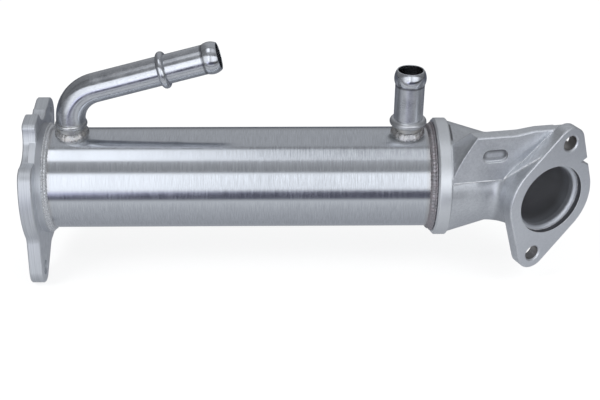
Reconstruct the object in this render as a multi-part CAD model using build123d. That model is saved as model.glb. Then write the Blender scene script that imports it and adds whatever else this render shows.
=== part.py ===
from build123d import *
import os
from math import cos, radians, sin, sqrt, tan

os.makedirs("parts", exist_ok=True)

# Shell-and-tube exhaust gas cooler. Millimetres.
# Origin: centre of the outer face of the inlet flange, on the axis of the round shell.
# +X runs along the shell to the cast outlet elbow, +Z is the side of the two hose pipes.

# Round water jacket
shell_od = 60.0
shell_wall = 1.5
jacket_run = 232.5         # from the inner face of the inlet flange to the ring of the casting

# Inlet flange, cut from plate
flange_thick = 8.0
flange_rim = 11.5          # body of the plate outside the shell
flange_lip = 2.5           # the mouth is this much narrower than the bore of the shell
flange_seat_depth = 4.0    # how deep the shell enters the plate
lower_ear_out = 24.0       # an ear's hole lies this far out from the shell
lower_ear_angle = -121.2   # from +Y, turning towards +Z
lower_ear_r = 9.2
upper_ear_out = 12.6
upper_ear_angle = 39.3
upper_ear_r = 10.0
ear_root_share = 0.45      # an ear grows from a circle that lies this share of the way to its hole
ear_root_r = 21.0
ear_blend_r = 7.0
front_bite_out = 15.4      # round bites that clear a wrench
front_bite_angle = 126.5
front_bite_r = 14.5
top_bite_out = 18.4
top_bite_angle = 73.8
top_bite_r = 13.0
bite_corner_r = 3.0        # rounding of a bite's upper end
front_bite_blend_r = 9.0   # and of its lower end
top_bite_blend_r = 4.0
inlet_bolt_hole_r = 4.5
flange_edge_break = 0.6
collar_len = 3.5
collar_wall = 3.0

# Cast outlet elbow
ring_rise = 5.3            # ring outside the shell
ring_width = 8.0
ring_seat_depth = 4.0      # how deep the shell enters the casting
ring_edge_break = 1.2
cone_step = 1.5            # the cone starts this much below the ring
elbow_r = 26.6
elbow_throat_r = 4.5       # inner radius of the bend
elbow_lead = 1.0           # straight stretch between the cone and the bend
elbow_turn = 64.6
elbow_corner_run_in = 44.5 # from the ring to where the shell's axis meets the axis of the port
elbow_corner_run_out = 33.5 # from there to the face of the port
duct_wall = 7.4

# Two-bolt outlet flange of the casting
port_flange_thick = 7.5
port_root_r = 1.8          # round root between the bend and the flange
port_step = 2.4            # the counterbore is this much wider than the duct
port_depth = 3.5
port_rim = 7.0
port_shoulder_round = 2.2
port_edge_break = 0.5
port_bolt_out = 13.9       # a hole lies this far out from the counterbore
port_bolt_lean = 15.0      # lean of the bolt line from the vertical
port_bolt_hole_r = 4.5
port_bolt_chamfer = 0.8
port_ear_rim = 5.3
notch_angle = 45.8
notch_depth = 2.4
notch_half_width = 1.8

# Flat web that ties the ring of the casting to the upper ear
web_foot_z = 11.0
web_turn = 9.5             # turn of the flat face away from the axis of the shell
web_rise = 4.5             # top of the web above the ring
web_ear_rise = 2.0         # climb of the top at the upper ear
web_ear_run = 10.0
web_ear_level = 5.0        # level stretch between the climb and the flange
web_top_width = 6.0
web_back_run = 12.0
web_back_drop = 18.0
web_edge_r = 1.2
web_flare_start = 1.0      # the end at the ring flares out of the cone from this height above it
web_flare = 1.18           # and rises this much per millimetre of run
pocket_len = 15.0
pocket_height = 8.0
pocket_depth = 1.5
pocket_from_ring = 24.0
pocket_below_top = 12.4
ear_block_right = 13.0     # sideways from the centre of the port
ear_block_right_depth = 2.5
ear_block_bury = 1.0       # its root lies this much inside the bend

# Tube bundle
gas_tube_r = 4.5
gas_tube_wall = 0.5
gas_tube_gap = 2.4
gas_tube_stickout = 1.0
bundle_clearance = 1.0     # least gap between the outer tubes and the shell
header_thick = 3.0
header_recess = 1.5        # from the end of the shell
baffle_thick = 1.5
baffle_count = 2
baffle_window = 14.0       # height of the open segment

# Hose pipes
pipe_od = 17.2
pipe_wall = 1.3
pipe_entry = 2.5           # how far a pipe reaches past the bore of the shell
mouth_len = 8.5            # barrel-shaped swelling at the mouth
mouth_rise = 0.8
mouth_draw_in = 0.7
mouth_belly = 0.55         # the swelling is thickest at this share of its length
stop_bead_rise = 2.3
stop_bead_width = 4.8

inlet_pipe_from_flange = 18.5
foot_bead_gap = 1.3        # from the weld to the small bead at the foot of the bent pipe
foot_bead_rise = 0.8
foot_bead_width = 3.4
inlet_bend_gap = 0.6       # from that bead to the bend
inlet_pipe_slope = 15.0
inlet_pipe_bend_r = 21.0
inlet_pipe_straight = 74.9
inlet_stop_bead_back = 33.2

outlet_pipe_from_ring = 15.9
outlet_stop_bead_gap = 1.4 # from the weld to the bead
outlet_hose_seat = 32.2    # from the bead to the mouth

# Weld beads
flange_weld_leg = 3.0
ring_weld_leg = 4.0
pipe_weld_leg = 3.0
weld_share = 0.8           # part of a step's height that a weld fills
weld_belly = 0.6           # a flat bead would be 0.5

# Sizes that follow from the ones above
shell_r = shell_od / 2
shell_bore_r = shell_r - shell_wall
shell_start = flange_thick - flange_seat_depth
flange_body_r = shell_r + flange_rim
flange_bore_r = shell_bore_r - flange_lip
ring_x = flange_thick + jacket_run
ring_r = shell_r + ring_rise
ring_end = ring_x + ring_width
shell_end = ring_x + ring_seat_depth
inlet_header_x = shell_start + header_recess
outlet_header_x = shell_end - header_recess - header_thick
cone_start_r = ring_r - cone_step
elbow_corner_x = ring_end + elbow_corner_run_in
duct_r = elbow_r - duct_wall
elbow_bend_r = elbow_r + elbow_throat_r
cone_end = elbow_corner_x - elbow_bend_r * tan(radians(elbow_turn / 2)) - elbow_lead
port_r = duct_r + port_step
port_body_r = port_r + port_rim
port_bolt_reach = port_r + port_bolt_out
port_ear_r = port_bolt_hole_r + port_ear_rim
web_top_z = ring_r + web_rise
ear_top_z = web_top_z + web_ear_rise
ear_block_back = port_flange_thick + ear_block_right_depth
ear_block_deepest = ear_block_back + (ear_block_right + elbow_r) * tan(radians(90 - elbow_turn - web_turn))
pipe_r = pipe_od / 2
weld_top_z = shell_r + pipe_weld_leg
foot_bead_z = weld_top_z + foot_bead_gap + foot_bead_width / 2
inlet_bend_z = foot_bead_z + foot_bead_width / 2 + inlet_bend_gap
inlet_bend_tangent = inlet_pipe_bend_r * tan(radians(90 - inlet_pipe_slope) / 2)
outlet_stop_bead_z = weld_top_z + outlet_stop_bead_gap + stop_bead_width / 2
inlet_pipe_x = flange_thick + inlet_pipe_from_flange
outlet_pipe_x = ring_x - outlet_pipe_from_ring
port_normal = Vector(cos(radians(elbow_turn)), -sin(radians(elbow_turn)), 0)
port_side = Vector(sin(radians(elbow_turn)), cos(radians(elbow_turn)), 0)
elbow_corner = Vector(elbow_corner_x, 0, 0)
port_centre = elbow_corner + port_normal * elbow_corner_run_out
port_plane = Plane(origin=port_centre, x_dir=port_side, z_dir=port_normal)


def x_cylinder(radius, start, end):
    """A round bar along the axis of the shell."""
    return extrude(Plane.YZ.offset(start) * Circle(radius), end - start)


def x_ring(points):
    """A closed outline of (x, radius) points turned about the axis of the shell."""
    outline = Polyline(*[(x, 0, r) for x, r in points], close=True)
    return revolve(make_face(outline), Axis.X)


def bead_on(plane, radius, rise, width):
    """A rolled bead round a pipe whose axis is the plane's normal."""
    outline = Polyline((radius - rise, 0, -width / 2), (radius, 0, -width / 2)) + ThreePointArc(
        (radius, 0, -width / 2), (radius + rise, 0, 0), (radius, 0, width / 2)
    ) + Polyline((radius, 0, width / 2), (radius - rise, 0, width / 2), (radius - rise, 0, -width / 2))
    return plane.location * revolve(make_face(outline), Axis.Z)


def belt(*circles):
    """The face inside a belt pulled round circles given as (x, y, radius)."""
    return make_hull([(Pos(x, y) * Circle(r)).edge() for x, y, r in circles])


def flange_place(out, angle):
    """(y, z) of a point that lies the given way out from the shell."""
    reach = shell_r + out
    return reach * cos(radians(angle)), reach * sin(radians(angle))


def ear_outline(place, radius):
    """One bolt ear of the inlet flange with the root that it grows from."""
    y, z = place
    return belt((y, z, radius), (y * ear_root_share, z * ear_root_share, ear_root_r))


def bite_ends(plate, place, radius):
    """The edges through the plate at the ends of a bite, from the lowest up."""
    y, z = place
    edges = [
        edge for edge in plate.edges()
        if edge.bounding_box().size.X > 0.9 * flange_thick
        and abs(sqrt((edge.center().Y - y) ** 2 + (edge.center().Z - z) ** 2) - radius) < 0.01
    ]
    return sorted(edges, key=lambda edge: edge.center().Z)


def bite_out(plate, place, radius, blend_r):
    """Cut a round bite, with a tight corner at its upper end and a soft one at its lower end."""
    y, z = place
    plate -= extrude(Plane.YZ.offset(-1) * Pos(y, z) * Circle(radius), flange_thick + 2)
    plate = fillet(bite_ends(plate, place, radius)[-1], bite_corner_r)
    return fillet(bite_ends(plate, place, radius)[0], blend_r)


def make_inlet_flange():
    lower_hole = flange_place(lower_ear_out, lower_ear_angle)
    upper_hole = flange_place(upper_ear_out, upper_ear_angle)
    outline = Circle(flange_body_r) + ear_outline(lower_hole, lower_ear_r)
    outline += ear_outline(upper_hole, upper_ear_r)
    body_corners = [
        corner for corner in outline.vertices()
        if abs(sqrt(corner.X ** 2 + corner.Y ** 2) - flange_body_r) < 0.01
    ]
    outline = fillet(body_corners, ear_blend_r)
    plate = extrude(Plane.YZ * outline, flange_thick)
    front_bite = flange_place(front_bite_out, front_bite_angle)
    top_bite = flange_place(top_bite_out, top_bite_angle)
    plate = bite_out(plate, front_bite, front_bite_r, front_bite_blend_r)
    plate = bite_out(plate, top_bite, top_bite_r, top_bite_blend_r)
    plate = chamfer(plate.faces().sort_by(Axis.X)[0].outer_wire().edges(), flange_edge_break)
    plate = chamfer(plate.faces().sort_by(Axis.X)[-1].outer_wire().edges(), flange_edge_break)
    plate += x_cylinder(shell_r + collar_wall, flange_thick / 2, flange_thick + collar_len)
    plate -= x_cylinder(flange_bore_r, -1, shell_start + 1)
    plate -= x_cylinder(shell_r, shell_start, flange_thick + collar_len + 1)
    for y, z in (lower_hole, upper_hole):
        plate -= extrude(Plane.YZ.offset(-1) * Pos(y, z) * Circle(inlet_bolt_hole_r), flange_thick + 2)
    return plate


def make_shell():
    tube = x_cylinder(shell_r, shell_start, shell_end) - x_cylinder(
        shell_bore_r, shell_start - 1, shell_end + 1)
    for x in (inlet_pipe_x, outlet_pipe_x):
        tube -= extrude(Plane.XY * Pos(x, 0) * Circle(pipe_r), shell_r + 1)
    return tube


def tube_places():
    """(y, z) of each gas tube: as many rings of a hexagonal pattern as the shell holds."""
    pitch = 2 * gas_tube_r + gas_tube_gap
    rings = int((shell_bore_r - bundle_clearance - gas_tube_r) / pitch)
    places = []
    for row in range(-rings, rings + 1):
        count = 2 * rings + 1 - abs(row)
        for place in range(count):
            places.append(((place - (count - 1) / 2) * pitch, row * pitch * sqrt(3) / 2))
    return places


def tube_holes():
    return [Pos(y, z) * Circle(gas_tube_r) for y, z in tube_places()]


def make_header(x):
    plate = Circle(shell_bore_r) - tube_holes()
    return extrude(Plane.YZ.offset(x) * plate, header_thick)


def make_baffle(x, side):
    """A support plate with an open segment at the top (+1) or the bottom (-1)."""
    window = Pos(0, side * shell_bore_r) * Rectangle(2 * shell_od, 2 * baffle_window)
    plate = Circle(shell_bore_r) - tube_holes() - window
    return extrude(Plane.YZ.offset(x) * plate, baffle_thick)


def make_gas_tube(y, z):
    start = inlet_header_x - gas_tube_stickout
    end = outlet_header_x + header_thick + gas_tube_stickout
    ring = Circle(gas_tube_r) - Circle(gas_tube_r - gas_tube_wall)
    return extrude(Plane.YZ.offset(start) * Pos(y, z) * ring, end - start)


def pipe_mouth(end_plane):
    """The barrel-shaped end of a hose pipe, drawn in at the rim."""
    rim = pipe_r - mouth_draw_in
    outline = Polyline((rim, 0, 0), (0, 0, 0), (0, 0, -mouth_len), (pipe_r, 0, -mouth_len)) + ThreePointArc(
        (pipe_r, 0, -mouth_len), (pipe_r + mouth_rise, 0, -mouth_len * mouth_belly), (rim, 0, 0))
    return end_plane.location * revolve(make_face(outline), Axis.Z)


def pipe_along(path, start_plane, end_plane, beads):
    """A tube swept on a path, with rolled beads and a swollen mouth."""
    outer = sweep(start_plane * Circle(pipe_r), path=path)
    outer -= extrude(end_plane.offset(-mouth_len) * Circle(2 * pipe_r), mouth_len + 1)
    outer += pipe_mouth(end_plane)
    for plane, rise, width in beads:
        outer += bead_on(plane, pipe_r, rise, width)
    return outer - sweep(start_plane * Circle(pipe_r - pipe_wall), path=path)


def make_inlet_pipe():
    foot = Vector(inlet_pipe_x, 0, shell_bore_r - pipe_entry)
    corner = Vector(inlet_pipe_x, 0, inlet_bend_z + inlet_bend_tangent)
    along = Vector(cos(radians(inlet_pipe_slope)), 0, sin(radians(inlet_pipe_slope)))
    end = corner + along * (inlet_bend_tangent + inlet_pipe_straight)
    path = FilletPolyline(foot, corner, end, radius=inlet_pipe_bend_r)
    start_plane = Plane(origin=foot, z_dir=(0, 0, 1))
    end_plane = Plane(origin=end, z_dir=along)
    foot_bead = Plane(origin=(inlet_pipe_x, 0, foot_bead_z), z_dir=(0, 0, 1))
    stop_bead = end_plane.offset(-inlet_stop_bead_back)
    beads = (
        (foot_bead, foot_bead_rise, foot_bead_width),
        (stop_bead, stop_bead_rise, stop_bead_width),
    )
    return pipe_along(path, start_plane, end_plane, beads)


def make_outlet_pipe():
    foot = Vector(outlet_pipe_x, 0, shell_bore_r - pipe_entry)
    end = Vector(outlet_pipe_x, 0, outlet_stop_bead_z + outlet_hose_seat)
    start_plane = Plane(origin=foot, z_dir=(0, 0, 1))
    end_plane = Plane(origin=end, z_dir=(0, 0, 1))
    stop_bead = Plane(origin=(outlet_pipe_x, 0, outlet_stop_bead_z), z_dir=(0, 0, 1))
    beads = ((stop_bead, stop_bead_rise, stop_bead_width),)
    return pipe_along(Line(foot, end), start_plane, end_plane, beads)


def make_pipe_weld(x):
    """A fillet weld that follows the saddle where a hose pipe meets the shell."""
    reach = 2 * pipe_r
    barrel = x_cylinder(shell_r, x - reach, x + reach)
    stub = extrude(Plane.XY * Pos(x, 0) * Circle(pipe_r), shell_r + reach)
    joined = barrel + stub
    saddle = [
        edge for edge in joined.edges()
        if edge.bounding_box().size.X > pipe_r and edge.bounding_box().size.Y > pipe_r
        and edge.bounding_box().max.Z < shell_r + 1 and edge.bounding_box().size.Z < pipe_r
        and edge.bounding_box().size.Y < 2.1 * pipe_r
    ]
    return chamfer(saddle, pipe_weld_leg) - barrel - stub


def ring_bead(start, run, step):
    """A round weld bead on the shell that starts against a step of the given height."""
    height = step * weld_share
    return x_ring((
        (start, shell_r), (start, shell_r + height),
        (start + run * weld_belly, shell_r + height * weld_belly), (start + run, shell_r),
    ))


def make_flange_weld():
    return ring_bead(flange_thick + collar_len, flange_weld_leg, collar_wall)


def make_ring_weld():
    return ring_bead(ring_x, -ring_weld_leg, ring_rise - ring_edge_break)


def port_bolt_places():
    lean = radians(port_bolt_lean)
    x, y = port_bolt_reach * sin(lean), port_bolt_reach * cos(lean)
    return ((x, y), (-x, -y))


def port_outline():
    """A round body with two ears and a small notch in its rim."""
    ears = [(x, y, port_ear_r) for x, y in port_bolt_places()]
    body = belt((0, 0, port_body_r), *ears)
    notch_x = port_body_r * cos(radians(notch_angle)) + notch_half_width
    notch = Pos(notch_x, port_body_r * sin(radians(notch_angle))) * Polygon(
        (-notch_depth, 0), (notch_depth * 2, -notch_half_width * 2),
        (notch_depth * 2, notch_half_width * 2), align=None)
    return body - notch


def make_port_flange():
    plate = extrude(port_plane.offset(-port_flange_thick) * port_outline(), port_flange_thick)
    face = plate.faces().sort_by(Axis(port_centre, port_normal))[-1]
    return chamfer(face.outer_wire().edges(), port_edge_break)


def cut_port(casting):
    """The counterbored port with its rounded shoulder, and the two bolt holes."""
    shoulder = min(port_shoulder_round, 0.9 * port_step)
    step = duct_r + shoulder
    low = -port_depth - shoulder
    slope = sin(radians(45))
    outline = Polyline(
        (duct_r, 0, low), (0, 0, low), (0, 0, 1), (port_r, 0, 1), (port_r, 0, -port_depth),
        (step, 0, -port_depth),
    ) + ThreePointArc(
        (step, 0, -port_depth), (step - shoulder * slope, 0, low + shoulder * slope), (duct_r, 0, low))
    casting -= port_plane.location * revolve(make_face(outline), Axis.Z)
    reach = ear_block_deepest + 1
    for x, y in port_bolt_places():
        hole = Pos(x, y, -reach) * extrude(Circle(port_bolt_hole_r), reach + 1)
        sink = Pos(x, y, -port_bolt_chamfer) * extrude(
            Circle(port_bolt_hole_r), port_bolt_chamfer * 2, taper=-45)
        casting -= port_plane.location * (hole + sink)
    return casting


def make_web():
    """Flat wall from the ring to the upper ear, and the pocket to cut out of it."""
    near = Vector(ring_end, -sqrt(cone_start_r ** 2 - web_foot_z ** 2), 0)
    along = Vector(cos(radians(web_turn)), sin(radians(web_turn)), 0)
    behind = Vector(-along.Y, along.X, 0)
    end_x = port_centre.X
    start = near - along * ((ring_end - ring_x) / along.X)
    section_plane = Plane(origin=start, x_dir=behind, z_dir=along)
    back = web_top_width + web_back_run
    section = Polygon(
        (0, web_foot_z), (back, web_foot_z), (back, ear_top_z - web_back_drop),
        (web_top_width, ear_top_z), (0, ear_top_z), align=None)
    wall = extrude(section_plane * section, (end_x - ring_x) / along.X)
    ear_x = port_centre.X - port_flange_thick - web_ear_level
    side = Polygon(
        (ring_x, 0), (end_x, 0), (end_x, ear_top_z), (ear_x, ear_top_z),
        (ear_x - web_ear_run, web_top_z), (ring_x, web_top_z), align=None)
    wall &= extrude(Plane.XZ * side, 2 * shell_od, both=True)
    front_plane = Plane(origin=start, x_dir=along, z_dir=-behind)
    front = [
        edge for edge in wall.edges()
        if edge.center().Z > web_top_z - 0.1 and abs(front_plane.to_local_coords(edge.center()).Z) < 0.01
        and edge.bounding_box().size.X > web_edge_r
    ]
    wall = fillet(front, web_edge_r)
    flare_r = cone_start_r + web_flare_start
    wall &= x_ring((
        (ring_x + ring_width / 2, 0), (ring_x + ring_width / 2, flare_r), (ring_end, flare_r),
        (end_x, flare_r + web_flare * (end_x - ring_end)), (end_x, 0),
    ))
    pocket_place = near + along * (pocket_from_ring / along.X) + Vector(0, 0, web_top_z - pocket_below_top)
    pocket_plane = Plane(origin=pocket_place, x_dir=along, z_dir=-behind)
    pocket = extrude(
        pocket_plane.offset(-pocket_depth) * SlotOverall(pocket_len, pocket_height), pocket_depth * 2)
    return wall, pocket


def make_ear_block():
    """The thick back of the upper ear, which runs from the bend to the ear and back into the web."""
    ear = port_bolt_places()[0]
    form = belt((0, 0, elbow_r - ear_block_bury), (*ear, port_ear_r))
    plan_plane = Plane(origin=port_centre + Vector(0, 0, web_foot_z), x_dir=port_side, z_dir=(0, 0, 1))
    plan = Polygon(
        (-elbow_r, port_flange_thick / 2), (ear_block_right, port_flange_thick / 2),
        (ear_block_right, ear_block_back), (-elbow_r, ear_block_deepest), align=None)
    block = extrude(port_plane.offset(-ear_block_deepest) * form, ear_block_deepest)
    return block & extrude(plan_plane * plan, ear_top_z - web_foot_z)


def elbow_bend(radius, end):
    """A round bar along the bend, from the cone to the given point."""
    path = FilletPolyline(Vector(ring_end, 0, 0), elbow_corner, end, radius=elbow_bend_r)
    return sweep(Plane(origin=(ring_end, 0, 0), z_dir=(1, 0, 0)) * Circle(radius), path=path)


def port_root():
    """The round root where the bend runs out into the back of the flange."""
    back = -port_flange_thick
    foot = elbow_r + port_root_r
    slope = port_root_r * (1 - sin(radians(45)))
    outline = Polyline(
        (elbow_r, 0, back - port_root_r), (0, 0, back - port_root_r), (0, 0, back / 2),
        (foot, 0, back / 2), (foot, 0, back),
    ) + ThreePointArc(
        (foot, 0, back), (elbow_r + slope, 0, back - slope), (elbow_r, 0, back - port_root_r))
    return port_plane.location * revolve(make_face(outline), Axis.Z)


def make_outlet_elbow():
    body = x_ring((
        (ring_x, 0), (ring_x, ring_r - ring_edge_break), (ring_x + ring_edge_break, ring_r),
        (ring_end - ring_edge_break / 2, ring_r), (ring_end, ring_r - ring_edge_break / 2),
        (ring_end, cone_start_r), (cone_end, elbow_r), (cone_end, 0),
    ))
    body += elbow_bend(elbow_r, port_centre - port_normal * (port_flange_thick / 2))
    body += port_root()
    web, pocket = make_web()
    body += web
    body += make_ear_block()
    body -= pocket
    body += make_port_flange()
    body -= elbow_bend(duct_r, port_centre + port_normal)
    body -= x_ring((
        (ring_x - 1, 0), (ring_x - 1, shell_r), (shell_end, shell_r),
        (shell_end, shell_bore_r), (cone_end, duct_r), (cone_end, 0),
    ))
    return cut_port(body)


def build():
    pieces = {
        "inlet_flange": make_inlet_flange(),
        "shell_tube": make_shell(),
        "outlet_elbow": make_outlet_elbow(),
        "coolant_inlet_pipe": make_inlet_pipe(),
        "coolant_outlet_pipe": make_outlet_pipe(),
        "inlet_flange_weld": make_flange_weld(),
        "outlet_elbow_weld": make_ring_weld(),
        "inlet_pipe_weld": make_pipe_weld(inlet_pipe_x),
        "outlet_pipe_weld": make_pipe_weld(outlet_pipe_x),
        "inlet_header_plate": make_header(inlet_header_x),
        "outlet_header_plate": make_header(outlet_header_x),
    }
    bundle_run = outlet_header_x - inlet_header_x - header_thick
    for number in range(baffle_count):
        x = inlet_header_x + header_thick + bundle_run * (number + 1) / (baffle_count + 1)
        pieces[f"baffle_{number + 1}"] = make_baffle(x, 1 if number % 2 == 0 else -1)
    for number, (y, z) in enumerate(tube_places()):
        pieces[f"gas_tube_{number + 1:02d}"] = make_gas_tube(y, z)
    return pieces


for name, piece in build().items():
    export_step(piece, f"parts/{name}.step")
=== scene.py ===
import math

import bmesh
import bpy
from mathutils import Matrix, Vector, noise


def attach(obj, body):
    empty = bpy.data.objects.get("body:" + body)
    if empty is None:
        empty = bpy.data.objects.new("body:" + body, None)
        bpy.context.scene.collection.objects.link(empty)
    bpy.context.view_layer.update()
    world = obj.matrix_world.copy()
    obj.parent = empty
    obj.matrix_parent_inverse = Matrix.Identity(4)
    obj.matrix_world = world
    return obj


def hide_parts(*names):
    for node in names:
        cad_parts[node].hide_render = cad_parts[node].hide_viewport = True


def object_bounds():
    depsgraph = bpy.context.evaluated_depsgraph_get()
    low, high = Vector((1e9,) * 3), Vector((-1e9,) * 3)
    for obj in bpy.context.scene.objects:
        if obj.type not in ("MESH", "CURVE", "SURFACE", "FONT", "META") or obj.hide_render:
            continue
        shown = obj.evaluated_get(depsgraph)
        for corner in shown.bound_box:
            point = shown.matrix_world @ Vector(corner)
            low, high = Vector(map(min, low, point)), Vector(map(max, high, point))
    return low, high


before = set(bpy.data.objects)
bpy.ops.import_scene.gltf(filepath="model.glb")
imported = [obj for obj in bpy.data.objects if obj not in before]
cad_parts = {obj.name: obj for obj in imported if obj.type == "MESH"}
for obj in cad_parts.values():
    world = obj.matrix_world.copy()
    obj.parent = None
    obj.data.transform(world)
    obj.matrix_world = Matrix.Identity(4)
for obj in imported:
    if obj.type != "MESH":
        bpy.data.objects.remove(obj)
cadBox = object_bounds()
print("frame loaded,", len(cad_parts), "nodes")

scene = bpy.context.scene
scene.view_settings.view_transform = "Standard"

# camera, placed as the photograph was taken

cameraView = {
    "place": (0.14870, -0.59347, 0.31532),
    "right": (0.99982, -0.01796, 0.00533),
    "up": (0.00411, 0.48787, 0.87291),
    "back": (-0.01828, -0.87273, 0.48786),
    "lens": 66.6,
    "sensor": 36,
    "clipStart": 0.01,
}

camera = bpy.data.objects.new("camera", bpy.data.cameras.new("camera"))
camera.data.sensor_width = cameraView["sensor"]
camera.data.lens = cameraView["lens"]
camera.data.clip_start = cameraView["clipStart"]
turn = Matrix((cameraView["right"], cameraView["up"], cameraView["back"])).transposed()
camera.matrix_world = Matrix.Translation(cameraView["place"]) @ turn.to_4x4()
scene.collection.objects.link(camera)
scene.camera = camera
print("camera set")

# node helpers


def addNode(tree, kind, settings=None, inputs=None):
    made = tree.nodes.new(kind)
    for name, value in (settings or {}).items():
        setattr(made, name, value)
    for name, value in (inputs or {}).items():
        if isinstance(value, bpy.types.NodeSocket):
            tree.links.new(value, made.inputs[name])
        else:
            made.inputs[name].default_value = value
    return made


def doMath(tree, operation, first, second=0.0, third=0.0):
    inputs = {0: first, 1: second, 2: third}
    return addNode(tree, "ShaderNodeMath", {"operation": operation}, inputs).outputs[0]


def times(tree, first, *others):
    for other in others:
        first = doMath(tree, "MULTIPLY", first, other)
    return first


def plus(tree, first, second):
    return doMath(tree, "ADD", first, second)


def minus(tree, first, second):
    return doMath(tree, "SUBTRACT", first, second)


def weigh(tree, share, first, second):
    # this share of the first value, and the second for the rest
    return plus(tree, times(tree, first, share), times(tree, second, 1 - share))


def distance(tree, first, second):
    # length of the diagonal of two values at right angles
    return doMath(tree, "SQRT", plus(tree, times(tree, first, first), times(tree, second, second)))


def doVector(tree, operation, first, second=(0.0, 0.0, 0.0)):
    inputs = {0: first, 1: second}
    made = addNode(tree, "ShaderNodeVectorMath", {"operation": operation}, inputs)
    return made.outputs["Value" if operation in ("DOT_PRODUCT", "LENGTH") else "Vector"]


def stretch(tree, value, low, high, start=0.0, end=1.0):
    # maps low to start and high to end, and holds still outside
    made = addNode(tree, "ShaderNodeMapRange", {"clamp": True}, {
        "Value": value, "From Min": low, "From Max": high, "To Min": start, "To Max": end})
    return made.outputs["Result"]


def near(tree, value, centre, half, soft):
    # 1 within half of the centre, fading to 0 over soft
    off = doMath(tree, "ABSOLUTE", minus(tree, value, centre))
    return stretch(tree, off, half + soft, half)


def past(tree, value, place, soft):
    # 0 before the place and 1 after it
    return stretch(tree, value, place - soft, place + soft)


def mixColours(tree, share, first, second, blend="MIX"):
    made = addNode(tree, "ShaderNodeMix", {"data_type": "RGBA", "blend_type": blend})
    for slot, value in ((0, share), (6, first), (7, second)):
        if isinstance(value, bpy.types.NodeSocket):
            tree.links.new(value, made.inputs[slot])
        elif slot:
            made.inputs[slot].default_value = (*value[:3], 1)
        else:
            made.inputs[slot].default_value = value
    return made.outputs[2]


def mixNormals(tree, share, first, second):
    made = addNode(tree, "ShaderNodeMix", {"data_type": "VECTOR"}, {0: share})
    tree.links.new(first, made.inputs[4])
    tree.links.new(second, made.inputs[5])
    return made.outputs[1]


def mixShaders(tree, share, first, second):
    inputs = {0: share, 1: first, 2: second}
    return addNode(tree, "ShaderNodeMixShader", {}, inputs).outputs[0]


def speckle(tree, place, scale, detail=3.0, rough=0.55):
    made = addNode(tree, "ShaderNodeTexNoise", {}, {
        "Vector": place, "Scale": scale, "Detail": detail, "Roughness": rough})
    return made.outputs["Fac"]


def streaks(tree, first, second, third=0.0, detail=3.0, rough=0.55):
    # noise drawn out into lines: a pair is a value and how fast the noise runs along it
    parts = (first, second, third)
    parts = [times(tree, *part) if isinstance(part, tuple) else part for part in parts]
    joined = addNode(tree, "ShaderNodeCombineXYZ", {}, dict(zip("XYZ", parts)))
    return speckle(tree, joined.outputs[0], 1.0, detail, rough)


def newFinish(name):
    # a metal finish, with its tree, its shader, the place on the object and that place's X, Y and Z
    finish = bpy.data.materials.new(name)
    finish.use_nodes = True
    tree = finish.node_tree
    shader = tree.nodes["Principled BSDF"]
    shader.inputs["Metallic"].default_value = 1.0
    place = addNode(tree, "ShaderNodeTexCoord").outputs["Object"]
    apart = addNode(tree, "ShaderNodeSeparateXYZ", {}, {0: place})
    return finish, tree, shader, place, apart.outputs


def paint(tree, colour, mask, share, tone):
    return mixColours(tree, times(tree, mask, share), colour, tone)


def toned(tree, value, look):
    # dark to light by a value that keeps within the look's contrast
    return mixColours(tree, stretch(tree, value, *look["contrast"]), look["dark"], look["light"])


def setColour(tree, shader, colour):
    tree.links.new(colour, shader.inputs["Base Color"])


def setRough(tree, shader, rough):
    tree.links.new(rough, shader.inputs["Roughness"])


edgeLean = (0.995, 0.86)  # cosines at which an edge begins and is full


def roundEdges(tree, radius, samples=6):
    # a normal that gives every edge a small round
    return addNode(tree, "ShaderNodeBevel", {"samples": samples}, {"Radius": radius}).outputs[0]


def edgeMask(tree, rounded):
    # 1 where the rounded normal leans away from the plain one
    plain = addNode(tree, "ShaderNodeNewGeometry").outputs["Normal"]
    return stretch(tree, doVector(tree, "DOT_PRODUCT", rounded, plain), *edgeLean)


def addBump(tree, shader, height, bump, normal=None):
    strength, reach = bump
    made = addNode(tree, "ShaderNodeBump", {}, {
        "Height": height, "Strength": strength, "Distance": reach})
    if normal:
        tree.links.new(normal, made.inputs["Normal"])
    tree.links.new(made.outputs[0], shader.inputs["Normal"])


def give(finish, *names):
    for name in names:
        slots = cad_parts[name].data.materials
        slots.clear()
        slots.append(finish)


# the masks in the looks: two numbers are where a mask is 0 and where it is 1, four also give its
# values there, and three are a centre, half the width that is 1 and the fade on either side

# shell: drawn tube, brushed round and round, with a heat tint beside its welds

shellLook = {
    "light": (0.75, 0.775, 0.81),
    "dark": (0.62, 0.64, 0.675),
    "contrast": (0.36, 0.62),
    "lineSpeeds": (2000, 3.5),  # along the tube and round it
    "lineDetail": 4.0,
    "lineRough": 0.7,
    "lineShare": 0.85,
    "broadSpeeds": (160.0, 0.9),
    "broadShift": 3.0,
    "heat": (0.50, 0.45, 0.40),
    "heatShare": 0.55,
    "heatHalf": 0.0012,
    "heatFade": 0.0035,
    "welds": (0.0118, 0.2385),
    "cloudScale": 28.0,
    "cloudDetail": 4.0,
    "streakShare": 0.7,
    "roughRange": (0.38, 0.62),
    "roughness": (0.14, 0.27),
    "anisotropy": 0.75,
    "anisotropyTurn": 0.25,
    "bump": (0.16, 0.00005),
}


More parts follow.
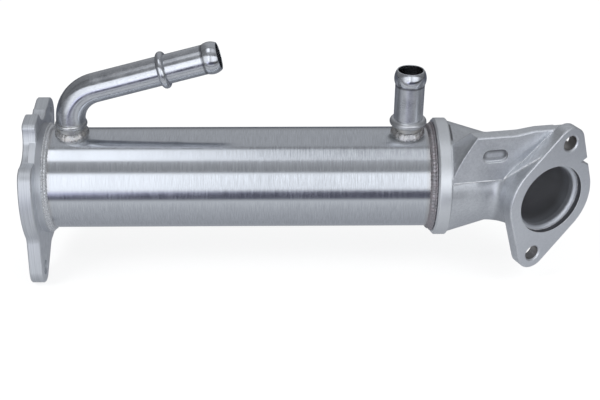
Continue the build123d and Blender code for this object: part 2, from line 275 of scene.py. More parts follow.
def makeShellFinish(look):
    finish, tree, shader, place, xyz = newFinish("shellBrushed")
    angle = doMath(tree, "ARCTAN2", xyz["Z"], xyz["Y"])
    along, around = look["lineSpeeds"]
    lines = streaks(tree, (xyz["X"], along), (angle, around),
                    detail=look["lineDetail"], rough=look["lineRough"])
    along, around = look["broadSpeeds"]
    broad = streaks(tree, (xyz["X"], along), (angle, around), look["broadShift"])
    streak = weigh(tree, look["lineShare"], lines, broad)
    colour = toned(tree, streak, look)
    for x in look["welds"]:
        tint = near(tree, xyz["X"], x, look["heatHalf"], look["heatFade"])
        colour = paint(tree, colour, tint, look["heatShare"], look["heat"])
    setColour(tree, shader, colour)
    cloud = speckle(tree, place, look["cloudScale"], look["cloudDetail"])
    patch = weigh(tree, look["streakShare"], streak, cloud)
    setRough(tree, shader, stretch(tree, patch, *look["roughRange"], *look["roughness"]))
    shader.inputs["Anisotropic"].default_value = look["anisotropy"]
    shader.inputs["Anisotropic Rotation"].default_value = look["anisotropyTurn"]
    around = addNode(tree, "ShaderNodeTangent", {"direction_type": "RADIAL", "axis": "X"})
    tree.links.new(around.outputs[0], shader.inputs["Tangent"])
    addBump(tree, shader, lines, look["bump"])
    return finish


give(makeShellFinish(shellLook), "shell_tube")

# inlet flange: satin plate with a rim that was ground along its outline

flangeLook = {
    "light": (0.83, 0.85, 0.88),
    "dark": (0.69, 0.71, 0.74),
    "contrast": (0.34, 0.66),
    "lineSpeeds": (1500, 30.0),  # through the plate and along its rim
    "lineRough": 0.6,
    "cloudScale": 220.0,
    "cloudDetail": 5.0,
    "cloudRough": 0.6,
    "faceFade": (0.6, 0.9),  # of the normal's X
    "collarSpan": (0.0330, 0.0003, 0.0003),  # from the axis
    "plateBack": 0.0079,
    "plateBackSoft": 0.0002,
    "bittenLightShare": 0.6,
    "shade": (0.40, 0.41, 0.44),
    "shadeFade": (0.013, 0.022),
    "shadeShare": 0.8,
    # painted light, for the bitten collar and the edges
    "edge": (0.92, 0.94, 0.97),
    "edgeRadius": 0.0005,
    "edgeHighlightShare": 0.6,
    "roughRange": (0.3, 0.7),
    "roughness": (0.44, 0.57),
    "bump": (0.25, 0.00006),
}


def makeFlangeFinish(look):
    finish, tree, shader, place, xyz = newFinish("flangeGround")
    through, along = look["lineSpeeds"]
    lines = streaks(tree, (xyz["X"], through), (xyz["Y"], along), (xyz["Z"], along),
                    rough=look["lineRough"])
    cloud = speckle(tree, place, look["cloudScale"], look["cloudDetail"], look["cloudRough"])
    facing = addNode(tree, "ShaderNodeNewGeometry").outputs["Normal"]
    facingX = addNode(tree, "ShaderNodeSeparateXYZ", {}, {0: facing}).outputs["X"]
    onFace = stretch(tree, doMath(tree, "ABSOLUTE", facingX), *look["faceFade"])
    grain = mixColours(tree, onFace, lines, cloud)
    colour = toned(tree, grain, look)

    # the collar gets painted light where a bite cuts down to it, and painted shade behind the plate
    # at the top
    onCollar = near(tree, distance(tree, xyz["Y"], xyz["Z"]), *look["collarSpan"])
    behind = past(tree, xyz["X"], look["plateBack"], look["plateBackSoft"])
    bittenPaintedLight = times(tree, onCollar, minus(tree, 1.0, behind))
    shaded = times(tree, onCollar, behind, stretch(tree, xyz["Z"], *look["shadeFade"]))
    colour = paint(tree, colour, bittenPaintedLight, look["bittenLightShare"], look["edge"])
    colour = paint(tree, colour, shaded, look["shadeShare"], look["shade"])
    rounded = roundEdges(tree, look["edgeRadius"])
    # painted highlight along the edges
    colour = paint(tree, colour, edgeMask(tree, rounded), look["edgeHighlightShare"], look["edge"])
    setColour(tree, shader, colour)
    setRough(tree, shader, stretch(tree, grain, *look["roughRange"], *look["roughness"]))
    addBump(tree, shader, grain, look["bump"], rounded)
    return finish


give(makeFlangeFinish(flangeLook), "inlet_flange")

# casting: blasted all over, turned ring, milled port face, machined port

castLook = {
    "light": (0.86, 0.88, 0.91),
    "dark": (0.70, 0.72, 0.75),
    "contrast": (0.38, 0.62),
    "fine": (1900.0, 2.0, 0.6),  # scale, detail and roughness of each noise
    "medium": (620.0, 3.0, 0.6),
    "cloud": (75.0, 4.0, 0.55),
    "fineShare": 0.45,
    "grainShare": 0.75,
    "shade": (0.26, 0.27, 0.29),
    # painted shade for the step wall, the ring's gap and the pocket
    "deep": (0.15, 0.15, 0.16),
    "roughRange": (0.35, 0.65),
    "roughness": (0.39, 0.45),
    "roughFace": -0.10,
    "roughRing": 0.04,
    "roughEdge": -0.14,
    "roughPort": 0.24,
    "roughDuct": 0.15,
    "bump": (0.65, 0.00010),
    # the port, in distances from its axis and depths along it, which are below 0 behind the face
    "port": {
        "centre": (0.307369, -0.030262, 0.0),
        "normal": (0.42894, -0.90334, 0.0),
        "faceFade": (-0.0006, -0.0002),
        "faceShare": 0.55,
        "crispFade": (-0.0050, -0.0035),
        "wallFade": (0.0220, 0.0218),
        "cutFade": (-0.0150, -0.0120),
        "cut": (0.80, 0.82, 0.86),
        "stepSpan": (0.0216, 0.0002, 0.0002),
        "stepDepth": (-0.0019, 0.0015, 0.0002),
        "stepShadeShare": 0.9,
        "millSpeeds": (90.0, 2600.0),
        "cutSpeeds": (2400.0, 30.0),
    },
    "ring": {
        "span": (0.2445, 0.0040, 0.0003),
        "riseFade": (0.0338, 0.0340),
        "turned": (0.90, 0.92, 0.94),
        "share": 0.8,
        "lineSpeeds": (1700.0, 30.0),
    },
    # the duct inside: straight behind the port, then round the bend, then along the cone
    "duct": {
        "bendCentre": (0.27334, -0.0311, 0.0),
        "bendRadius": 0.0311,
        "bendDepth": -0.01384,
        "join": 0.0001,
        "wallFade": (0.0224, 0.0222),
        "castFade": (-0.0110, -0.0150),
        "inside": (0.56, 0.56, 0.58),
        "share": 0.9,
    },
    "bolts": {
        "side": 0.009188,
        "up": 0.034291,
        "wallFade": (0.0047, 0.0046),
        "depthFade": (-0.0006, -0.0016),
        # painted shade inside the holes
        "holeShade": (0.36, 0.34, 0.32),
        "share": 0.85,
    },
    # the web, with painted shade on the flare at its root, in the gap beside the ring and in its
    # pocket, and its foot
    "web": {
        "corner": (0.2485, -0.03196, 0.0),
        "turn": 9.5,
        "flareRoot": 0.0348,
        "flareClimb": 1.18,
        "flareSpan": (0.0, 0.0002, 0.0002),
        "flareShade": (0.0032, 0.0004, 0.0, 0.34),
        "gapRadius": (0.0335, 0.0006, 0.0002),
        "gapX": (0.2490, 0.0007, 0.0004),
        "gapY": (-0.0060, 0.0068, 0.0020),
        "gapShadeShare": 0.85,
        "pocketMiddle": 0.02433,
        "pocketLevel": 0.0274,
        "pocketHalfRun": 0.0075,
        "pocketHalfHeight": 0.0040,
        "pocketDepth": (0.0009, 0.0007, 0.0002),
        "pocketWall": (0.0040, 0.0013, 0.0018),
        "pocketFade": (-0.0034, -0.0012),
        "pocketShare": 0.75,
        "footZ": (0.0110, 0.0005, 0.0004),
        "footBehind": (0.0, 0.0005, 0.0004),
        "footX": (0.2634, 0.0144, 0.0004),
    },
    # the raised fold from the web's foot to the back of the flange, painted as a highlight, and the
    # painted shade of the neck beside it
    "fold": {
        "place": (0.27957, -0.02676, 0.0126),
        "turn": (0.4875, -0.4965, -0.7184),
        "span": (0.0, 0.0002, 0.0004),
        "spanX": (0.2880, 0.0090, 0.0010),
        "fadeY": (-0.022, -0.025),
        "height": 2.0,
        "neckSide": (0.0, 0.0012),
        "neckX": (0.2752, 0.2776),
        "neckY": (-0.004, -0.012),
        "neckDepth": (-0.0076, -0.0086),
        "rimDepth": (-0.0008, -0.0020),
        "rimZ": (-0.016, -0.002),
        "rimX": (0.306, 0.298),
        "neckShare": 0.36,
    },
    # rounded edges, worn and given a painted highlight, and the flow of the cone into the bend
    "edges": {
        "crisp": 0.0006,
        "soft": 0.0011,
        "cone": (0.2485, 0.27234, 0.0338, 0.0266),  # X at both ends, then the radius at both
        "skinSpan": (0.0, 0.0003, 0.0003),
        "flowSpan": (0.27234, 0.0060, 0.0040),
        "flowDepth": (-0.0110, -0.0150),
        "flow": 0.0070,
        "flowSamples": 12,
        "sparkle": (0.40, 0.60, 0.15, 1.0),
        "bright": (0.96, 0.97, 0.99),
        "metallic": (1.0, 0.55),
    },
}


def findSpot(tree, look, place, xyz):
    # where a point lies against the port, the shell's axis and the web
    away = doVector(tree, "SUBTRACT", place, look["port"]["centre"])
    flat = doVector(tree, "CROSS_PRODUCT", away, look["port"]["normal"])
    turned = math.radians(look["web"]["turn"])
    alongWeb = (math.cos(turned), math.sin(turned), 0.0)
    offWeb = (-math.sin(turned), math.cos(turned), 0.0)
    fromCorner = doVector(tree, "SUBTRACT", place, look["web"]["corner"])
    return {
        "away": away,
        "depth": doVector(tree, "DOT_PRODUCT", away, look["port"]["normal"]),
        "reach": doVector(tree, "LENGTH", flat),
        "fromAxis": distance(tree, xyz["Y"], xyz["Z"]),
        "alongWeb": doVector(tree, "DOT_PRODUCT", fromCorner, alongWeb),
        "behindWeb": doVector(tree, "DOT_PRODUCT", fromCorner, offWeb),
    }


def fromDuctMiddle(tree, look, place, xyz, spot):
    fromBend = doVector(tree, "SUBTRACT", place, look["bendCentre"])
    flatOut = doVector(tree, "LENGTH", doVector(tree, "MULTIPLY", fromBend, (1, 1, 0)))
    tubeOut = distance(tree, minus(tree, flatOut, look["bendRadius"]), xyz["Z"])
    pastCone = past(tree, xyz["X"], look["bendCentre"][0], look["join"])
    byPort = past(tree, spot["depth"], look["bendDepth"], look["join"])
    bentOrStraight = mixColours(tree, byPort, tubeOut, spot["reach"])
    return mixColours(tree, pastCone, spot["fromAxis"], bentOrStraight)


def drilledWalls(tree, look, normal, xyz, spot):
    # both holes at once: what lies below the port's centre is turned half round
    sideways = doVector(tree, "DOT_PRODUCT", spot["away"], (-normal[1], normal[0], 0.0))
    sideways = times(tree, sideways, doMath(tree, "SIGN", xyz["Z"]))
    offSide = minus(tree, sideways, look["side"])
    offUp = minus(tree, doMath(tree, "ABSOLUTE", xyz["Z"]), look["up"])
    return times(tree, stretch(tree, distance(tree, offSide, offUp), *look["wallFade"]),
                 stretch(tree, spot["depth"], *look["depthFade"]))


def flareShade(tree, look, xyz, spot):
    fromRing = minus(tree, xyz["X"], look["corner"][0])
    flare = doMath(tree, "MULTIPLY_ADD", fromRing, look["flareClimb"], look["flareRoot"])
    onFlare = near(tree, minus(tree, spot["fromAxis"], flare), *look["flareSpan"])
    return times(tree, onFlare, stretch(tree, spot["behindWeb"], *look["flareShade"]))


def ringGapShade(tree, look, xyz, spot):
    # painted shade in the step between the ring and the cone
    return times(tree, near(tree, spot["fromAxis"], *look["gapRadius"]),
                 near(tree, xyz["X"], *look["gapX"]), near(tree, xyz["Y"], *look["gapY"]))


def pocketShade(tree, look, xyz, spot):
    # the upper wall of the pocket, by the distance from the middle line of the slot
    offMiddle = doMath(tree, "ABSOLUTE", minus(tree, spot["alongWeb"], look["pocketMiddle"]))
    straight = look["pocketHalfRun"] - look["pocketHalfHeight"]
    sideways = doMath(tree, "MAXIMUM", minus(tree, offMiddle, straight), 0.0)
    upward = minus(tree, xyz["Z"], look["pocketLevel"])
    return times(tree, near(tree, spot["behindWeb"], *look["pocketDepth"]),
                 near(tree, distance(tree, sideways, upward), *look["pocketWall"]),
                 stretch(tree, upward, *look["pocketFade"]))


def foldLine(tree, look, web, offFold, xyz, spot):
    fold = times(tree, near(tree, offFold, *look["span"]), near(tree, xyz["X"], *look["spanX"]),
                 stretch(tree, xyz["Y"], *look["fadeY"]))
    webFoot = times(tree, near(tree, xyz["Z"], *web["footZ"]),
                    near(tree, spot["behindWeb"], *web["footBehind"]),
                    near(tree, xyz["X"], *web["footX"]))
    return doMath(tree, "MAXIMUM", fold, webFoot)


def neckShade(tree, look, offFold, xyz, spot):
    # the neck behind the flange, and the back of the flange's rim
    onRim = times(tree, stretch(tree, spot["depth"], *look["rimDepth"]),
                  stretch(tree, xyz["Z"], *look["rimZ"]), stretch(tree, xyz["X"], *look["rimX"]))
    behindRim = stretch(tree, spot["depth"], *look["neckDepth"])
    return times(tree, stretch(tree, xyz["X"], *look["neckX"]),
                 stretch(tree, offFold, *look["neckSide"]),
                 stretch(tree, xyz["Y"], *look["neckY"]),
                 doMath(tree, "MAXIMUM", onRim, behindRim))


def makeCastFinish(look):
    finish, tree, shader, place, xyz = newFinish("castBlasted")
    fine = speckle(tree, place, *look["fine"])
    medium = speckle(tree, place, *look["medium"])
    cloud = speckle(tree, place, *look["cloud"])
    grain = weigh(tree, look["fineShare"], fine, medium)
    colour = toned(tree, weigh(tree, look["grainShare"], grain, cloud), look)
    port, ring, duct, bolts = (look[part] for part in ("port", "ring", "duct", "bolts"))
    web, folded, edges = (look[part] for part in ("web", "fold", "edges"))
    spot = findSpot(tree, look, place, xyz)
    depth, reach = spot["depth"], spot["reach"]

    # milled face, machined port and turned ring
    onFace = stretch(tree, depth, *port["faceFade"])
    inPort = times(tree, stretch(tree, reach, *port["wallFade"]),
                   stretch(tree, depth, *port["cutFade"]))
    worked = doMath(tree, "MAXIMUM", times(tree, onFace, port["faceShare"]), inPort)
    onRing = times(tree, near(tree, xyz["X"], *ring["span"]),
                   stretch(tree, spot["fromAxis"], *ring["riseFade"]))
    colour = mixColours(tree, worked, colour, port["cut"])
    colour = paint(tree, colour, onRing, ring["share"], ring["turned"])

    # cast duct, then painted shade on the wall of the port's step and inside the drilled holes
    fromMiddle = fromDuctMiddle(tree, duct, place, xyz, spot)
    inDuct = times(tree, stretch(tree, fromMiddle, *duct["wallFade"]),
                   stretch(tree, depth, *duct["castFade"]))
    stepWallShade = times(tree, near(tree, reach, *port["stepSpan"]),
                     near(tree, depth, *port["stepDepth"]))
    holeShade = drilledWalls(tree, bolts, port["normal"], xyz, spot)
    colour = paint(tree, colour, inDuct, duct["share"], duct["inside"])
    colour = paint(tree, colour, stepWallShade, port["stepShadeShare"], look["deep"])
    colour = paint(tree, colour, holeShade, bolts["share"], bolts["holeShade"])

    # painted shade on the web's flare, in the ring's gap, in the pocket and on the neck
    colour = mixColours(tree, flareShade(tree, web, xyz, spot), colour, look["shade"])
    colour = paint(tree, colour, ringGapShade(tree, web, xyz, spot), web["gapShadeShare"], look["deep"])
    inPocket = pocketShade(tree, web, xyz, spot)
    colour = paint(tree, colour, inPocket, web["pocketShare"], look["deep"])
    toFold = doVector(tree, "SUBTRACT", place, folded["place"])
    offFold = doVector(tree, "DOT_PRODUCT", toFold, folded["turn"])
    fold = foldLine(tree, folded, web, offFold, xyz, spot)
    neck = neckShade(tree, folded, offFold, xyz, spot)
    colour = paint(tree, colour, neck, folded["neckShare"], look["shade"])

    # edges are crisp at the port and softer on the rest, and the cone flows into the bend
    crisp = roundEdges(tree, edges["crisp"])
    soft = roundEdges(tree, edges["soft"])
    nearFace = stretch(tree, depth, *port["crispFade"])
    rounded = mixNormals(tree, doMath(tree, "MAXIMUM", nearFace, inPort), soft, crisp)
    coneRadius = stretch(tree, xyz["X"], *edges["cone"])
    onSkin = near(tree, minus(tree, fromMiddle, coneRadius), *edges["skinSpan"])
    blend = times(tree, onSkin, near(tree, xyz["X"], *edges["flowSpan"]),
                  stretch(tree, depth, *edges["flowDepth"]))
    flowing = roundEdges(tree, edges["flow"], edges["flowSamples"])
    rounded = mixNormals(tree, blend, rounded, flowing)

    # edges are worn and, with the fold, get a painted highlight that sparkles where the grain is
    # coarse
    edge = edgeMask(tree, crisp)
    sparkle = stretch(tree, medium, *edges["sparkle"])
    wornAndHighlit = times(tree, doMath(tree, "MAXIMUM", edge, fold), sparkle)
    setColour(tree, shader, mixColours(tree, wornAndHighlit, colour, edges["bright"]))
    metallic = stretch(tree, wornAndHighlit, 0.0, 1.0, *edges["metallic"])
    tree.links.new(metallic, shader.inputs["Metallic"])
    rough = stretch(tree, cloud, *look["roughRange"], *look["roughness"])
    for mask, name in ((worked, "roughFace"), (onRing, "roughRing"), (edge, "roughEdge"),
                       (inPort, "roughPort"), (inDuct, "roughDuct")):
        rough = plus(tree, rough, times(tree, mask, look[name]))
    setRough(tree, shader, rough)

    # tool marks take the place of the grain on the worked faces
    upSpeed, outSpeed = port["millSpeeds"]
    millLines = streaks(tree, (xyz["Z"], upSpeed), (reach, outSpeed))
    alongSpeed, upSpeed = ring["lineSpeeds"]
    turnLines = streaks(tree, (xyz["X"], alongSpeed), (xyz["Z"], upSpeed))
    inSpeed, upSpeed = port["cutSpeeds"]
    cutLines = streaks(tree, (depth, inSpeed), (xyz["Z"], upSpeed))
    height = grain
    for mask, lines in ((onFace, millLines), (onRing, turnLines), (inPort, cutLines)):
        height = mixColours(tree, mask, height, lines)
    height = plus(tree, height, times(tree, fold, folded["height"]))
    addBump(tree, shader, height, look["bump"], rounded)
    return finish


give(makeCastFinish(castLook), "outlet_elbow")

# hose pipes: bright bent tube, heat tinted at the foot, with a painted shadow line behind the
# swollen mouth

pipeLook = {
    "light": (0.74, 0.755, 0.785),
    "dark": (0.58, 0.595, 0.63),
    "contrast": (0.36, 0.60),
    "scratchSpeeds": (700.0, 1500.0, 2400.0),
    "scratchTurn": (0.0, 0.26, 0.0),
    "scratchShare": 0.5,
    "dull": (130.0, 4.0, 0.6),
    "straw": (0.56, 0.53, 0.45),
    "strawShare": 0.6,
    "footFade": (0.0400, 0.0335),
    "footPatches": (0.3, 0.6, 0.3, 1.0),
    "bentMouth": (0.114413, 0.0, 0.077970),
    "bentAlong": (0.965926, 0.0, 0.258819),
    "bentFade": (0.15, 0.14),
    "straightMouth": 0.0690,
    # painted shadow line behind the mouth
    "mouthShade": (0.16, 0.165, 0.18),
    "mouthShadeSpan": (-0.0087, 0.0003, 0.0008),
    "mouthShadeShare": 0.8,
    "edgeRadius": 0.0003,
    "roughRange": (0.35, 0.65),
    "roughness": (0.13, 0.25),
    "roughFoot": 0.14,
    "satin": 0.12,
    "satinFade": (-0.0080, -0.0090),
    "bump": (0.16, 0.00008),
}


def makePipeFinish(look):
    finish, tree, shader, place, xyz = newFinish("pipeBright")
    drawn = addNode(tree, "ShaderNodeMapping", {}, {
        "Vector": place, "Scale": look["scratchSpeeds"], "Rotation": look["scratchTurn"]})
    scratches = speckle(tree, drawn.outputs[0], 1.0)
    dull = speckle(tree, place, *look["dull"])
    tone = weigh(tree, look["scratchShare"], scratches, dull)
    colour = toned(tree, tone, look)
    foot = stretch(tree, xyz["Z"], *look["footFade"])
    patchy = times(tree, foot, stretch(tree, dull, *look["footPatches"]))
    colour = paint(tree, colour, patchy, look["strawShare"], look["straw"])

    # how far a point lies past the mouth of its own pipe
    toMouth = doVector(tree, "SUBTRACT", place, look["bentMouth"])
    pastBent = doVector(tree, "DOT_PRODUCT", toMouth, look["bentAlong"])
    pastStraight = minus(tree, xyz["Z"], look["straightMouth"])
    onBent = stretch(tree, xyz["X"], *look["bentFade"])
    onStraight = minus(tree, 1.0, onBent)
    fromMouth = plus(tree, times(tree, pastBent, onBent), times(tree, pastStraight, onStraight))
    # painted shadow in a band just behind the mouth
    mouthShade = near(tree, fromMouth, *look["mouthShadeSpan"])
    setColour(tree, shader, paint(tree, colour, mouthShade, look["mouthShadeShare"], look["mouthShade"]))
    rough = stretch(tree, dull, *look["roughRange"], *look["roughness"])
    rough = plus(tree, rough, times(tree, foot, look["roughFoot"]))
    satin = times(tree, onStraight, stretch(tree, fromMouth, *look["satinFade"]), look["satin"])
    setRough(tree, shader, plus(tree, rough, satin))
    addBump(tree, shader, tone, look["bump"], roundEdges(tree, look["edgeRadius"]))
    return finish


give(makePipeFinish(pipeLook), "coolant_inlet_pipe", "coolant_outlet_pipe")

# tube bundle: plain dull stainless

coreLook = {
    "light": (0.52, 0.53, 0.55),
    "dark": (0.40, 0.40, 0.41),
    "contrast": (0.36, 0.62),
    "lineSpeeds": (90.0, 1800.0),  # along the tubes and across them
    "lineShare": 0.5,
    "cloud": (160.0, 4.0),
    "roughRange": (0.35, 0.65),
    "roughness": (0.30, 0.42),
    "bump": (0.15, 0.00004),
}


def makeCoreFinish(look):
    finish, tree, shader, place, xyz = newFinish("corePlain")
    along, across = look["lineSpeeds"]
    lines = streaks(tree, (xyz["X"], along), (xyz["Y"], across), (xyz["Z"], across))
    cloud = speckle(tree, place, *look["cloud"])
    setColour(tree, shader, toned(tree, weigh(tree, look["lineShare"], lines, cloud), look))
    setRough(tree, shader, stretch(tree, cloud, *look["roughRange"], *look["roughness"]))
    addBump(tree, shader, lines, look["bump"])
    return finish


coreNodes = [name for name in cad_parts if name.startswith(("gas_tube", "baffle"))]
give(makeCoreFinish(coreLook), "inlet_header_plate", "outlet_header_plate", *coreNodes)
print("finishes on the frame's nodes")

# weld finishes: gritty metal with a tint in patches

weldLook = {
    "grit": (1500.0, 3.0, 0.65),
    "cloud": (260.0, 4.0, 0.6),
    "gritShare": 0.5,
    "contrast": (0.36, 0.62),
    "tintRange": (0.42, 0.62),
    "roughRange": (0.35, 0.65),
    "bump": (0.6, 0.00014),
}
weldTones = {
    "weldSilver": {
        "light": (0.87, 0.89, 0.92), "dark": (0.58, 0.60, 0.63), "tint": (0.61, 0.61, 0.61),
        "tintShare": 0.3, "roughness": (0.22, 0.40), "metallic": 0.75,
    },
    "weldViolet": {
        "light": (0.60, 0.59, 0.61), "dark": (0.26, 0.25, 0.27), "tint": (0.36, 0.31, 0.33),
        "tintShare": 0.7, "roughness": (0.28, 0.46), "metallic": 0.85,
    },
    "weldStraw": {
        "light": (0.80, 0.81, 0.825), "dark": (0.36, 0.355, 0.36), "tint": (0.42, 0.38, 0.34),
        "tintShare": 0.6, "roughness": (0.18, 0.36), "metallic": 0.95,
    },
}


def makeWeldFinish(name):
    look = {**weldLook, **weldTones[name]}
    finish, tree, shader, place = newFinish(name)[:4]
    grit = speckle(tree, place, *look["grit"])
    cloud = speckle(tree, place, *look["cloud"])
    colour = toned(tree, weigh(tree, look["gritShare"], grit, cloud), look)
    patches = stretch(tree, cloud, *look["tintRange"], 0.0, look["tintShare"])
    setColour(tree, shader, mixColours(tree, patches, colour, look["tint"]))
    setRough(tree, shader, stretch(tree, grit, *look["roughRange"], *look["roughness"]))
    shader.inputs["Metallic"].default_value = look["metallic"]
    addBump(tree, shader, grit, look["bump"])
    return finish


# weld beads: a profile spun round an axis, with ripples pressed into it

rippleLook = {
    "wanderSpeed": 3,  # noise that shifts the ripples round the bead
    "wanderLayer": 1.0,
    "wander": 2.5,
    "unevenSpeed": 9,  # noise that makes some ripples deeper than others
    "unevenLayer": 4.0,
    "uneven": (0.75, 0.5),
    "gritScale": 900.0,
    "grit": 0.6,
    "merge": 1e-7,
    "footMargin": 1e-5,
}


def noiseRound(angle, speed, layer):
    return noise.noise(Vector((math.cos(angle) * speed, math.sin(angle) * speed, layer)))


def rippleDepth(place, turned, across, look):
    # how far a point moves along its normal, in shares of the depth: below 0 is pressed in
    least, swing = rippleLook["uneven"]
    wander = noiseRound(turned, rippleLook["wanderSpeed"], rippleLook["wanderLayer"])
    arch = look["lean"] * (1 - across * across)
    phase = look["ripples"] * turned + arch + rippleLook["wander"] * wander
    wave = abs(math.sin(phase / 2)) - 1
    uneven = noiseRound(turned, rippleLook["unevenSpeed"], rippleLook["unevenLayer"])
    grit = noise.noise(place * rippleLook["gritScale"])
    return wave * (least + swing * uneven) + rippleLook["grit"] * grit


def rippledBead(name, centre, axis, profile, look, bend=None):
    # the profile is a closed list of (along, out) points
    work = bmesh.new()
    side = Vector((0, 0, 1)) if abs(axis[2]) < 0.5 else Vector((1, 0, 0))
    centre, axis = Vector(centre), Vector(axis)
    points = [work.verts.new(centre + axis * along + side * out) for along, out in profile]
    edges = [work.edges.new((points[i - 1], points[i])) for i in range(len(points))]
    bmesh.ops.spin(work, geom=points + edges, cent=centre, axis=axis, dvec=(0, 0, 0),
                   angle=2 * math.pi, steps=look["ripples"] * look["perRipple"], use_merge=True)
    bmesh.ops.remove_doubles(work, verts=work.verts, dist=rippleLook["merge"])
    bmesh.ops.recalc_face_normals(work, faces=work.faces)
    work.normal_update()
    other = axis.cross(side)
    low, high = min(along for along, out in profile), max(along for along, out in profile)
    foot = min(out for along, out in profile) + rippleLook["footMargin"]
    moves = []
    for vert in work.verts:
        away = vert.co - centre
        along = away.dot(axis)
        if (away - axis * along).length > foot:
            turned = math.atan2(away.dot(other), away.dot(side))
            across = (along - low) / (high - low) * 2 - 1
            move = look["depth"] * rippleDepth(vert.co, turned, across, look)
            moves.append((vert, vert.normal * move))
    for vert, move in moves:
        vert.co += move
    if bend:
        for vert in work.verts:
            bend(vert)
    mesh = bpy.data.meshes.new(name)
    work.to_mesh(mesh)
    work.free()
    mesh.shade_smooth()
    bead = bpy.data.objects.new(name, mesh)
    scene.collection.objects.link(bead)
    return bead


def beadArc(start, end, bulge, count):
    # points from start to end on a curve that bulges outwards
    points = []
    for step in range(count + 1):
        share = step / count
        along = start[0] + (end[0] - start[0]) * share
        out = start[1] + (end[1] - start[1]) * share
        points.append((along, out + bulge * math.sin(math.pi * share)))
    return points


def dressBead(bead, finish, node):
    bead.data.materials.append(finish)
    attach(bead, "root")
    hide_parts(node)


# beads round the shell, as (X, distance from the axis)

flangeBead = {
    "start": (0.0114, 0.0328), "dip": (0.0129, 0.0316), "end": (0.0146, 0.0300), "inner": 0.0298,
    "bulge": 0.0006, "arcSteps": 5, "ripples": 96, "perRipple": 6, "depth": 0.00034, "lean": 1.6,
}
ringBead = {
    "start": (0.2363, 0.0300), "dip": (0.2388, 0.0318), "end": (0.2404, 0.0326), "inner": 0.0298,
    "bulge": 0.0007, "arcSteps": 5, "ripples": 84, "perRipple": 7, "depth": 0.00042, "lean": -1.9,
}


def hoopBead(name, look, finish, node):
    profile = beadArc(look["start"], look["dip"], look["bulge"], look["arcSteps"])
    profile += beadArc(look["dip"], look["end"], look["bulge"], look["arcSteps"])[1:]
    profile += [(look["end"][0], look["inner"]), (look["start"][0], look["inner"])]
    dressBead(rippledBead(name, (0, 0, 0), (1, 0, 0), profile, look), finish, node)


hoopBead("weldAtFlange", flangeBead, makeWeldFinish("weldSilver"), "inlet_flange_weld")
hoopBead("weldAtRing", ringBead, makeWeldFinish("weldViolet"), "outlet_elbow_weld")

# beads round the feet of the hose pipes, dropped on to the round shell

pipeBead = {
    "pipeRadius": 0.0086, "shellRadius": 0.0300, "rise": 0.0034, "leg": 0.0016, "bulge": 0.0004,
    "sink": 0.0002, "footSink": 0.0006, "footLeg": 0.9, "footRise": 0.8, "inset": 0.0003,
    "arcSteps": 8, "ripples": 20, "perRipple": 9, "depth": 0.00020, "lean": 1.4,
}


def saddleBead(name, x, look, finish, node):
    radius, leg, rise, shell = (look[key] for key in ("pipeRadius", "leg", "rise", "shellRadius"))
    inner = radius - look["inset"]
    toe = (-look["sink"], radius + leg)
    profile = beadArc((rise, radius), toe, look["bulge"], look["arcSteps"])
    profile += [(-look["footSink"], radius + leg * look["footLeg"]), (-look["footSink"], inner),
                (rise * look["footRise"], inner)]

    def dropToShell(vert):
        across = min(abs(vert.co.y), shell)
        vert.co.z -= shell - math.sqrt(shell ** 2 - across ** 2)

    bead = rippledBead(name, (x, 0, shell), (0, 0, 1), profile, look, dropToShell)
    dressBead(bead, finish, node)


footFinish = makeWeldFinish("weldStraw")
saddleBead("weldAtInletPipe", 0.0265, pipeBead, footFinish, "inlet_pipe_weld")
saddleBead("weldAtOutletPipe", 0.2246, pipeBead, footFinish, "outlet_pipe_weld")
print("weld beads made")

# floor: white with a faint shadow to the camera, shaded to the metal that reflects it

floorLook = {
    "corners": ((-1.4, -0.160), (1.7, -0.160), (1.7, 2.0), (-1.4, 2.0)),
    "drop": 0.0004,
    "colour": (0.80, 0.81, 0.82),
    "shadow": 0.30,
    "white": 1.15,
    "nearTone": (0.60, 0.62, 0.65),
    "farTone": (0.12, 0.13, 0.16),
    "front": (-0.01, -0.115, 0.50, 1.0),
    "back": (0.05, 0.20, 0.0, 0.50),
    "rim": (-0.159, -0.125),
    "middle": 0.20,
    "aside": (0.22, 0.36, 1.0, 0.3),
}


def makeFloor(look):
    low = cadBox[0][2] - look["drop"]
    work = bmesh.new()
    work.faces.new([work.verts.new((x, y, low)) for x, y in look["corners"]])
    mesh = bpy.data.meshes.new("floor")
    work.to_mesh(mesh)
    work.free()
    floor = bpy.data.objects.new("floor", mesh)
    scene.collection.objects.link(floor)
    finish = bpy.data.materials.new("floorPale")
    finish.use_nodes = True
    tree = finish.node_tree
    tree.nodes.clear()
    place = addNode(tree, "ShaderNodeTexCoord").outputs["Object"]
    xyz = addNode(tree, "ShaderNodeSeparateXYZ", {}, {0: place}).outputs
    aside = doMath(tree, "ABSOLUTE", minus(tree, xyz["X"], look["middle"]))
    lit = addNode(tree, "ShaderNodeBsdfDiffuse", {}, {"Color": (*look["colour"], 1)}).outputs[0]
    white = addNode(tree, "ShaderNodeEmission", {}, {
        "Color": (1, 1, 1, 1), "Strength": look["white"]}).outputs[0]
    y = xyz["Y"]
    fall = minus(tree, stretch(tree, y, *look["front"]), stretch(tree, y, *look["back"]))
    fall = times(tree, fall, stretch(tree, y, *look["rim"]), stretch(tree, aside, *look["aside"]))
    grey = addNode(tree, "ShaderNodeEmission", {}, {
        "Color": mixColours(tree, fall, look["farTone"], look["nearTone"]), "Strength": 1.0})
    rays = addNode(tree, "ShaderNodeLightPath").outputs
    seen = mixShaders(tree, 1 - look["shadow"], lit, white)
    reflected = mixShaders(tree, rays["Is Glossy Ray"], lit, grey.outputs[0])
    both = mixShaders(tree, rays["Is Camera Ray"], reflected, seen)
    out = addNode(tree, "ShaderNodeOutputMaterial")
    tree.links.new(both, out.inputs["Surface"])
    mesh.materials.append(finish)


makeFloor(floorLook)

# studio: white to the camera, and for metal a tent with soft panels in front and overhead
# a stop of the tent is an angle in degrees, up from straight ahead and over to the back
# a stop of a panel or of the sides is a place from the left, -1, to the right, 1
# the second number of a stop is its brightness

